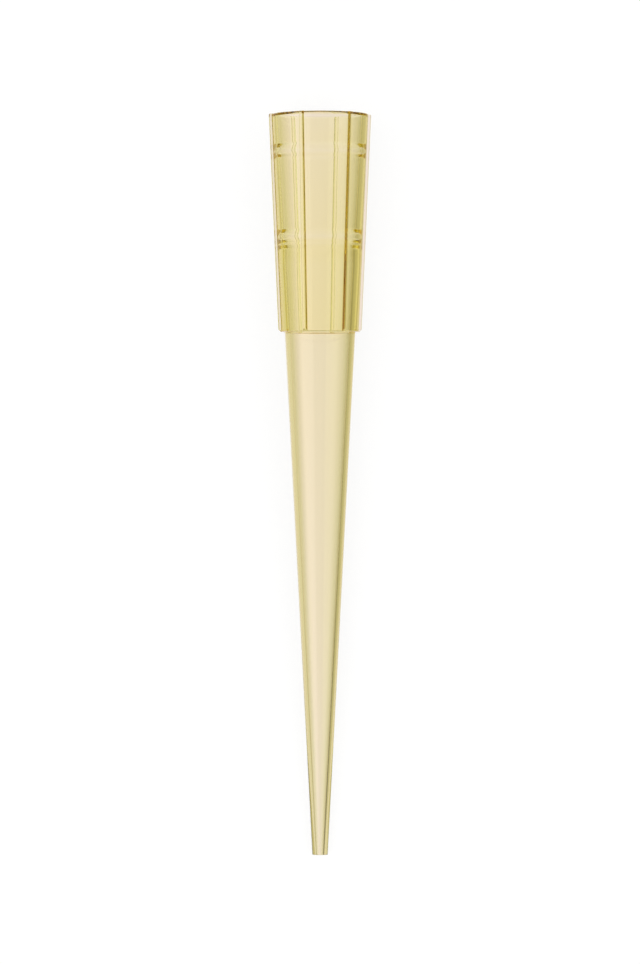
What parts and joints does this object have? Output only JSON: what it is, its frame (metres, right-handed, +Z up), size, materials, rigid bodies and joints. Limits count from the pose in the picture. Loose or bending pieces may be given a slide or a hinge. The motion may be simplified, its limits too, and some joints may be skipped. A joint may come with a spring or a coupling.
{
  "type": "pipette tip",
  "caption": "Clear yellow pipette tip: a long hollow cone with a ribbed collar and a tapered socket, pushed onto a pipette's nozzle to draw up and hold liquid.",
  "frame": {"origin": "the middle of the tip's outline on the surface that it lies on", "axes": "+Y from the point toward the rim, along the surface; +Z up; the tip's own axis leans from +Y toward +Z by 3.39 degrees, because the tip lies on its collar's foot and its point"},
  "size_m": [0.0072, 0.0512, 0.0069],
  "materials": {
    "clear_yellow_polypropylene": "clear, smooth moulded"
  },
  "bodies": {
    "root": {"pipette_tip": "clear_yellow_polypropylene"}
  },
  "joints": []
}
